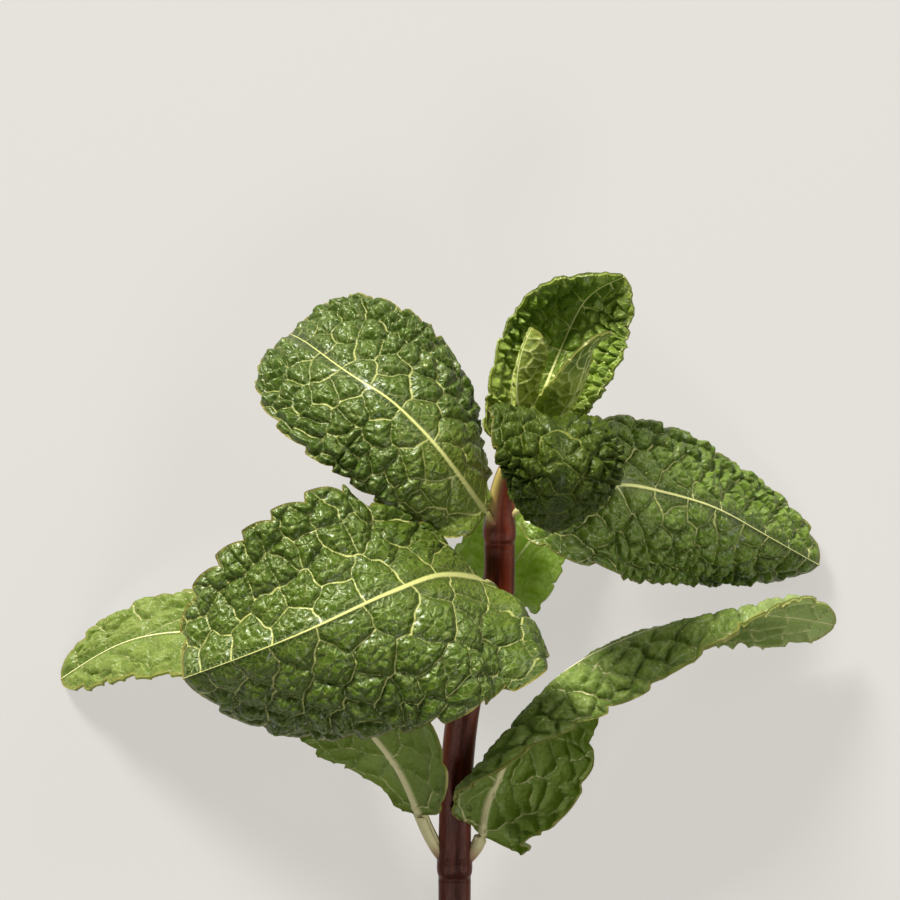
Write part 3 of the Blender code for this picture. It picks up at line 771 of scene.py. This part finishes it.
# %% Each leaf's green
VEIN = (0.54, 0.54, 0.18)
# painted light: a lighter vein colour for the leaves that lie in shade
PAINTED_LIGHT_VEIN = (0.78, 0.78, 0.30)
OLD_VEIN = (0.82, 0.74, 0.40)
UNDER = (0.15, 0.23, 0.05)
THROUGH = (0.24, 0.42, 0.03)
DARK_TIP = (0.04, 0.075, 0.005)
GREEN = leaf_material("leaf_green", (0.008, 0.022, 0.001), (0.066, 0.112, 0.005), VEIN, UNDER, THROUGH)
BEADED = leaf_material("leaf_beaded_green", (0.006, 0.018, 0.001), (0.050, 0.090, 0.004), VEIN, UNDER,
                       THROUGH, seen=0.45, base=0.5, pale_out=0.6)
# painted light: the upper right leaf faces away from the key lamp, so its greens and veins are lighter
# copies that stand in for light it does not get
SHADE_LIFTED_GREEN = leaf_material("leaf_green_painted_light", (0.009, 0.026, 0.001), (0.125, 0.205, 0.015), PAINTED_LIGHT_VEIN, UNDER,
                       THROUGH, seen=0.75, base=0.8, shine=0.4)
# painted light: the top back leaf gets little light inside its cup, so its greens are painted lighter; its
# pale base and net are its own colour
CUPPED_LIFTED_GREEN = leaf_material("leaf_cupped_green_painted_light", (0.045, 0.090, 0.006), (0.220, 0.320, 0.035), PAINTED_LIGHT_VEIN, UNDER,
                       (0.34, 0.52, 0.05), 0.28, seen=0.8, base=1.0, shine=0.25, rim=0.2, pale_out=0.0)
OLD = leaf_material("leaf_old_green", (0.070, 0.125, 0.014), (0.23, 0.290, 0.060), OLD_VEIN,
                    (0.20, 0.27, 0.06), (0.46, 0.60, 0.08), 0.4, 0.42, shine=0.15)
# painted light: the lower right leaf's tip lies in its own shade, so it is painted pale from 72% of its
# length on
LIT_TIPPED = leaf_material("leaf_old_painted_light_tip", (0.055, 0.105, 0.012), (0.20, 0.275, 0.055), OLD_VEIN,
                            (0.22, 0.30, 0.07), (0.46, 0.60, 0.10), 0.4, 0.42, shine=0.15,
                            tip=(0.50, 0.58, 0.26), tip_share=0.8, tip_from=0.72)
# painted light: the back leaf lies in the front leaf's shadow, so its greens are painted light, as if light
# shone through it from behind
BACKLIT = leaf_material("leaf_backlit_green", (0.15, 0.27, 0.03), (0.40, 0.54, 0.13), (0.60, 0.66, 0.26),
                        (0.24, 0.34, 0.07), (0.60, 0.78, 0.12), 0.5, 0.4, base=0.6, rim=0.2)
DARK = leaf_material("leaf_dark_green", (0.010, 0.024, 0.001), (0.044, 0.070, 0.003), (0.24, 0.27, 0.05),
                     (0.10, 0.17, 0.03), (0.14, 0.30, 0.02), seen=0.55, shine=0.1, base=0.1, rim=0.3,
                     midline=0.1, specular=0.3)
YOUNG_COLOURS = ((0.25, 0.32, 0.04), (0.45, 0.50, 0.11), (0.64, 0.66, 0.27), (0.36, 0.42, 0.08),
                 (0.5, 0.62, 0.15))
YOUNG = leaf_material("leaf_young_green", *YOUNG_COLOURS, 0.3, 0.5, rim=0.3, tip=DARK_TIP, tip_share=0.3)
TIPPED = leaf_material("leaf_young_tipped", *YOUNG_COLOURS, 0.3, 0.5, rim=0.3, tip=DARK_TIP, tip_share=0.95)
greens = (GREEN, BEADED, SHADE_LIFTED_GREEN, CUPPED_LIFTED_GREEN, OLD, LIT_TIPPED, BACKLIT, DARK, YOUNG, TIPPED)
print("finishes:", ", ".join(green.name for green in greens))

# %% [markdown]
# ## The leaves
# The numbers of each spine and fold are the solids' own. What is new here is each leaf's look: how many
# side veins it has, the size of its cells, and how far they puff up at the base, the middle and the tip.

# %% The large leaves
front = Leaf(
    spine=[(5.0, -15.5, 15.2), (4.0, -13.9, 20.5), (-0.5, -12.9, 26.3), (-4.0, -13.7, 30.0),
           (-8.0, -15.3, 31.8), (-12.5, -17.4, 32.3), (-18.5, -20.0, 31.0), (-27.5, -23.5, 26.5)],
    face=[(-0.3, 0.7, 0.7), (-0.05, 0.0, 0.5), (-0.25, -0.15, 1.0)],
    stalk=6.5, half_widths=(14.6, 12.9), fullest=0.41, fullness=0.43, lobes=(5.1, -9.6),
    folds=[(-10, 5, -42), (18, -30, -45)], curls=[(-33, -42, 3), (-6, 29, 48)], teeth=11, tooth=1.1,
)
add_leaf("leaf_front", front,
         dict(veins=8, cell=3.2, small=0.38, puffed=(0.45, 0.85, 0.8), beads=0.4, rib=0.44,
              net=0.1, stalk=0.6), 301, 129, GREEN, 11)

upper_left = Leaf(
    spine=[(5.2, -8.5, 17.0), (3.4, -6.0, 20.7), (0.5, -2.0, 23.3), (-1.5, 0.5, 23.9), (-6.0, 5.0, 23.6),
           (-9.0, 7.0, 22.5), (-12.0, 9.0, 19.8), (-15.0, 11.2, 15.3), (-17.0, 12.3, 10.2)],
    face=[(0.25, 0.35, 0.95), (0.1, 0.15, 0.9), (-0.6, 0.6, 0.65)],
    stalk=4.2, half_widths=(9.4, 10.8), fullest=0.5, fullness=0.85, lobes=(3.0, 1.3),
    folds=[(-23, 2, 16), (-23, -13, -1)], curls=[(-41, -29, -14), (-59, -27, -9)], teeth=12,
)
add_leaf("leaf_upper_left", upper_left,
         dict(veins=9, cell=2.4, small=0.48, puffed=(0.4, 0.9, 1.15), beads=0.35, rib=0.3,
              net=0.08, stalk=0.6), 280, 111, BEADED, 21)

upper_right = Leaf(
    spine=[(5.2, -8.5, 17.0), (7.5, -6.0, 19.5), (12.5, -4.5, 21.5), (17.5, -3.7, 21.0),
           (22.0, -4.4, 18.5), (27.5, -6.0, 14.5), (32.5, -8.5, 9.5), (40.0, -12.5, 2.5)],
    face=[(0.4, 0.6, 0.75), (0.1, 0.65, 0.6), (-0.05, 0.15, 0.75)],
    stalk=4.6, half_widths=(9.1, 10.1), fullest=0.44, fullness=0.87, lobes=(0.3, 1.2),
    folds=[(6, 16, -16), (15, -43, -47)], curls=[(-9, -5, -19), (-17, -55, -20)], teeth=13,
)
add_leaf("leaf_upper_right", upper_right,
         dict(veins=10, cell=2.1, small=0.5, puffed=(0.65, 1.15, 0.95), beads=0.3, rib=0.32,
              net=0.08, stalk=0.6), 280, 105, SHADE_LIFTED_GREEN, 31)

lower_left = Leaf(
    spine=[(0.5, -45.0, 6.0), (-1.5, -42.5, 7.2), (-3.5, -38.0, 9.5), (-5.5, -33.5, 12.5),
           (-8.0, -30.0, 15.0), (-13.5, -24.0, 16.5), (-21.0, -20.0, 14.5), (-29.0, -19.5, 10.3),
           (-35.5, -21.0, 5.7), (-42.3, -25.0, 0.45)],
    face=[(0.85, 0.3, -0.6), (-0.3, 0.5, -0.05), (-0.25, 0.55, 0.85)],
    stalk=8.0, half_widths=(8.3, 7.9), fullest=0.39, fullness=0.94, lobes=(-0.1, 0.2),
    folds=[(-11, 6, 6), (17, 3, 17)], curls=[(-22, -12, -15), (-18, -9, -19)], teeth=11,
)
add_leaf("leaf_lower_left", lower_left,
         dict(veins=9, cell=2.3, small=0.42, puffed=(0.3, 0.9, 1.4), beads=0.3, rib=0.6,
              net=0.15, stalk=1.25), 211, 60, OLD, 41, coarse=1)

lower_right = Leaf(
    spine=[(0.5, -45.0, 6.0), (3.1, -42.0, 7.6), (3.9, -38.0, 8.8), (5.0, -35.0, 10.0),
           (6.5, -31.0, 11.8), (8.8, -27.0, 12.4), (13.0, -23.0, 12.8), (20.2, -19.5, 13.0),
           (26.2, -18.0, 10.8), (33.5, -17.5, 8.0), (41.5, -18.8, 4.1)],
    face=[(0.05, 0.45, -1.1), (-0.4, 0.45, 0.05), (-0.25, 0.5, -0.45)],
    stalk=5.2, half_widths=(9.5, 7.8), fullest=0.34, fullness=0.83, lobes=(2.5, -5.0),
    folds=[(-52, -12, -14), (26, -12, 9)], curls=[(-44, -37, 30), (-90, -66, 5)], teeth=11,
)
add_leaf("leaf_lower_right", lower_right,
         dict(veins=11, cell=1.8, small=0.5, puffed=(0.4, 1.1, 0.9), beads=0.25, rib=0.5,
              net=0.3, stalk=1.2), 231, 74, LIT_TIPPED, 51, coarse=1)

# %% [markdown]
# ## The small leaves
# Round the growing tip the leaves are shorter and more deeply folded. One pair stands open, one leaf of
# it upright and the other arched over the stem. The last two still wrap the tip, folded almost shut.
# The leaf at the back of the largest pair is seen only past the upper leaves, so its grid is coarser.

# %% The small leaves
back = Leaf(
    spine=[(5.0, -16.0, 15.0), (5.5, -15.0, 11.0), (6.0, -13.5, 6.0), (7.5, -11.5, 2.6), (10.5, -7.5, 0.9),
           (14.0, -3.5, 0.45), (18.5, 1.0, 0.3)],
    face=[(0.3, 0.85, 0.5), (-0.05, 0.1, 0.95), (-0.05, 0.0, 1.0)],
    stalk=4.0, half_widths=(6.3, 5.3), fullest=0.41, fullness=0.76, lobes=(2.0, 3.8),
    folds=[(8, 7, 22), (-31, 29, 20)], curls=[(9, 1, 4), (-14, 25, 2)], teeth=9, tooth=0.6,
)
add_leaf("leaf_back", back,
         dict(veins=7, cell=2.4, small=0.42, puffed=(0.5, 0.9, 0.8), beads=0.3, rib=0.25,
              net=0.08, stalk=0.7), 160, 54, BACKLIT, 61)

top_back = Leaf(
    spine=[(7.0, -0.5, 21.0), (8.5, 2.0, 19.0), (9.5, 5.0, 18.0), (11.0, 9.0, 17.5), (12.5, 12.5, 18.0),
           (14.5, 16.0, 19.5), (18.0, 18.0, 22.5)],
    face=[(0.05, 0.15, 1.2), (-0.2, 0.15, 0.6), (-0.15, -0.65, 0.75)],
    stalk=3.0, half_widths=(7.0, 7.4), fullest=0.46, fullness=0.69, lobes=(6.2, -0.3),
    folds=[(15, 31, 33), (30, 6, 22)], curls=[(52, 36, 28), (26, 19, 24)], teeth=10, tooth=0.6,
)
add_leaf("leaf_top_back", top_back,
         dict(veins=8, cell=1.6, small=0.55, puffed=(0.5, 1.1, 1.3), beads=0.3, rib=0.2,
              net=0.06, stalk=0.6), 220, 75, CUPPED_LIFTED_GREEN, 71)

top_front = Leaf(
    spine=[(7.0, -0.5, 21.0), (8.5, 1.8, 25.5), (10.3, 3.0, 29.5), (11.0, 2.0, 33.0), (11.4, -1.0, 34.8),
           (11.2, -4.0, 34.0), (10.8, -6.5, 31.5), (10.5, -8.5, 28.0)],
    face=[(0.1, 1.0, -0.3), (0.15, 0.7, 0.85), (0.0, -0.5, 1.0)],
    stalk=3.2, half_widths=(7.8, 6.9), fullest=0.5, fullness=0.71, lobes=(0.4, 2.2),
    folds=[(11, -3, -23), (37, 6, -16)], curls=[(-30, -42, -22), (8, -33, -44)], teeth=10, tooth=0.5,
)
add_leaf("leaf_top_front", top_front,
         dict(veins=8, cell=1.5, small=0.55, puffed=(0.8, 1.0, 0.95), beads=0.3, rib=0.03,
              net=0.06, stalk=0.6), 220, 75, DARK, 81)

young_left = Leaf(
    spine=[(8.5, 1.5, 22.5), (7.5, 4.0, 24.0), (7.0, 6.5, 25.5), (7.5, 10.0, 26.5), (8.5, 12.5, 27.0)],
    face=[(0.65, 0.0, -0.7), (0.6, 0.0, -0.8), (0.85, 0.0, -0.55)],
    stalk=1.8, half_widths=(2.9, 2.7), fullest=0.48, fullness=0.79, lobes=(-1.9, 0.1),
    folds=[(54, 60, 37), (20, 36, 35)], curls=[(31, 38, 17), (12, 27, 24)], teeth=6, tooth=0.25,
    stalk_half=0.4,
)
young_right = Leaf(
    spine=[(9.5, 1.5, 22.5), (11.0, 3.5, 24.5), (12.5, 5.5, 26.0), (13.5, 8.0, 27.0), (14.5, 10.5, 27.5),
           (16.5, 12.0, 27.0)],
    face=[(-0.6, 0.3, -0.7), (-0.65, 0.45, -0.5), (-0.7, 0.6, -0.2)],
    stalk=1.8, half_widths=(3.5, 3.5), fullest=0.45, fullness=0.81, lobes=(0.2, -0.1),
    folds=[(17, 16, 16), (27, 7, -9)], curls=[(25, 20, 7), (26, 18, -11)], teeth=6, tooth=0.25,
    stalk_half=0.4,
)
YOUNG_LOOK = dict(veins=6, cell=1.2, small=0.5, puffed=(0.3, 0.4, 0.4), beads=0.3, rib=0.14, net=0.08,
                  stalk=0.8)
add_leaf("young_leaf_left", young_left, YOUNG_LOOK, 110, 40, YOUNG, 91, coarse=1)
add_leaf("young_leaf_right", young_right, YOUNG_LOOK, 110, 40, TIPPED, 101, coarse=1)

# %% [markdown]
# ## The stem's look
# The stem is glossy, nearly black low down and purplish red above, with paler ridges and streaks along
# its length. A pale green stripe runs down from the tip. The streaks are a noise that is squeezed round
# the stem, where the flat map is scaled up, so it stays long along it.

# %% Stem material
RIDGE_PINK = (0.34, 0.11, 0.07)
STRIPE_GREEN = (0.42, 0.36, 0.10)
STEM_SHEEN = (1.0, 0.6, 0.5)


def stem_material():
    """Streaks between two dark reds, paler on the ridges and in the stripe, under a smooth skin."""
    made = Shading("stem_red")
    where = made.node("ShaderNodeUVMap", {"uv_map": "flat"}, {})
    stretched = made.node("ShaderNodeMapping", {}, {"Vector": where, "Scale": (1.0, 9.0, 1.0)})
    streaks = made.noise(stretched, 2.5, 4.0, 0.6)
    fine = made.noise(stretched, 14.0, 3.0, 0.6)
    grain = made.noise(where, 40.0, 2.0, 0.5)
    old = made.mix(streaks.between(0.35, 0.7), (0.014, 0.0012, 0.0006), (0.060, 0.006, 0.002))
    young = made.mix(streaks.between(0.3, 0.7), (0.020, 0.0014, 0.0007), (0.12, 0.016, 0.005))
    colour = made.mix(made.number("fresh"), old, young)
    colour = made.mix(made.number("edge") * (0.25 + made.number("fresh") * 0.3), colour, RIDGE_PINK)
    colour = made.mix(made.number("pale") * 0.85, colour, STRIPE_GREEN)
    height = streaks * 0.6 + fine * 0.4 + grain * 0.3
    bump = made.node("ShaderNodeBump", {}, {"Strength": 0.5, "Distance": WRINKLE_DEPTH, "Height": height})
    return made.finish(made.node("ShaderNodeBsdfPrincipled", {}, {
        "Base Color": colour, "Roughness": 0.26 + fine * 0.2, "Normal": bump, "Specular IOR Level": 0.32,
        "Specular Tint": four(STEM_SHEEN),
    }))


print("stem material: its ridges are", RIDGE_PINK)

# %% Stem piece
STEM_ROWS, STEM_SIDES = 420, 48
STEM_RADIUS = 1.7  # turns the angle round the stem into a length on its flat map
RIDGE_WIDTH = 0.2  # radians round the stem
STRIPE_WIDTH = 0.35
STRIPE_ANGLE = 135.0  # degrees round the stem: the side toward -X and the viewer
tube, tube_at, tube_angle = stem_surface(STEM_ROWS, STEM_SIDES)
tube_faces = grid_faces(STEM_ROWS, STEM_SIDES, closed=True)
ends = [list(range(STEM_SIDES)), list(range((STEM_ROWS - 1) * STEM_SIDES, STEM_ROWS * STEM_SIDES))[::-1]]
from_edge = abs((tube_angle + math.pi / 2) % (math.pi / 2) - math.pi / 4)
edge_number = np.broadcast_to(np.exp(-((from_edge / RIDGE_WIDTH) ** 2)), (STEM_ROWS, STEM_SIDES))
tube_round = tube_angle[None] * STEM_RADIUS / CENTIMETRE
tube_flat = np.stack(np.broadcast_arrays(tube_at[:, None] / CENTIMETRE, tube_round), -1)
tube_y = tube[..., 1].mean(-1, keepdims=True) * np.ones_like(tube_angle)
fresh_number = soft_step(-24.0, -12.0, tube_y)  # redder above, nearly black below
stripe = np.exp(-(((tube_angle[None] - math.radians(STRIPE_ANGLE)) / STRIPE_WIDTH) ** 2))
pale_number = stripe * soft_step(-8.0, -6.5, tube_y) + 0.8 * soft_step(-1.5, 1.0, tube_y)
add_piece("stem", "stem", tube.reshape(-1, 3), [*tube_faces.tolist(), *ends], stem_material(),
          {"edge": edge_number.reshape(-1), "pale": np.clip(pale_number, 0, 1).reshape(-1),
           "fresh": fresh_number.reshape(-1)}, tube_flat.reshape(-1, 2))

# %% [markdown]
# ## The table
# A pale warm table fills the view. It glows a little by itself, so it stays as bright under the sprig as
# a lit backdrop would, with only a faint shadow.

# %% Table
TABLE_HALF = 900  # of its side
TABLE_BASE = (0.125, 0.122, 0.116)
TABLE_GLOW = (0.77, 0.745, 0.70)
corners = [(-1, -1, 0), (1, -1, 0), (1, 1, 0), (-1, 1, 0)]
floor_points = np.array(corners, float) * TABLE_HALF
floor_mesh = bpy.data.meshes.new("table_top")
floor_mesh.from_pydata((floor_points * MM).tolist(), [], [(0, 1, 2, 3)])
floor_look = Shading("table_pale")
floor_mesh.materials.append(floor_look.finish(floor_look.node("ShaderNodeBsdfPrincipled", {}, {
    "Base Color": four(TABLE_BASE), "Roughness": 0.9, "Specular IOR Level": 0.1,
    "Emission Color": four(TABLE_GLOW), "Emission Strength": 0.725})))
floor = bpy.data.objects.new("table_top", floor_mesh)
bpy.context.scene.collection.objects.link(floor)
floor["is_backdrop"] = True
print(f"table: {2 * TABLE_HALF * MM:.1f} m square")

# %% [markdown]
# ## Light and camera
# A strong, fairly small light stands beyond the tip and skims the leaves, so that every puffed cell has a
# bright and a dark side. A weaker one from the side opens the right half, a fill from the stem's side
# opens the folds, and a dim even sky does the rest. The camera hangs 45 cm above the upper leaves, far
# enough for a nearly parallel view.

# %% Lights
TARGET = (0, 0.02, 0.01)  # metres: a place in the middle of the upper leaves
WARM = (1.0, 0.99, 0.97)
SKY = (0.95, 0.97, 1.0)


def add_light(name, place, size, power, colour):
    """A square lamp that shines at the target; place and size are in metres, power in watts."""
    light = bpy.data.lights.new(name, "AREA")
    light.size = size
    light.energy = power
    light.color = colour
    thing = bpy.data.objects.new(name, light)
    bpy.context.scene.collection.objects.link(thing)
    thing.location = place
    thing.rotation_mode = "QUATERNION"
    thing.rotation_quaternion = (Vector(TARGET) - Vector(place)).to_track_quat("-Z", "Y")
    print(f"{name} light: {power} W, {thing.location.length:.1f} m away")


add_light("key", (-0.60, 1.15, 0.80), 0.35, 50.0, (1.0, 0.99, 0.96))
add_light("side", (1.0, 0.8, 0.8), 0.7, 9.0, WARM)
add_light("fill", (0.3, -1.0, 1.2), 0.5, 8.5, WARM)
world = bpy.data.worlds.new("soft_room")
world.use_nodes = True
sky = world.node_tree.nodes["Background"]
sky.inputs["Color"].default_value = four(SKY)
sky.inputs["Strength"].default_value = 0.10
bpy.context.scene.world = world
bpy.context.scene.view_settings.view_transform = "Standard"

# %% Camera
VIEW_WIDTH = 94.5  # of the picture, at the height of the upper leaves
VIEW_HEIGHT = 450.0  # of the camera above them
LEAF_LEVEL = 17.0  # of these leaves above the table
camera_data = bpy.data.cameras.new("camera")
camera_data.sensor_width = 36.0
camera_data.lens = camera_data.sensor_width * VIEW_HEIGHT / VIEW_WIDTH
camera = bpy.data.objects.new("camera", camera_data)
bpy.context.scene.collection.objects.link(camera)
camera.location = (-MIDDLE[0] * MM, -MIDDLE[1] * MM, (VIEW_HEIGHT + LEAF_LEVEL) * MM)
camera_data.clip_start = 0.01
bpy.context.scene.camera = camera
print(f"camera: a lens of {camera_data.lens:.0f} mm, {camera.location.z:.3f} m above the table")

# %% [markdown]
# ## Sizes
# The dressed sprig has to stay inside the solids' box, so both boxes are written down to compare.

# %% Write both boxes and finish
look_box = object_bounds()
for name, box in (("solids", cad_box), ("dressed", look_box)):
    print(name, [round(1000 * (high - low), 1) for low, high in zip(*box)], "mm")
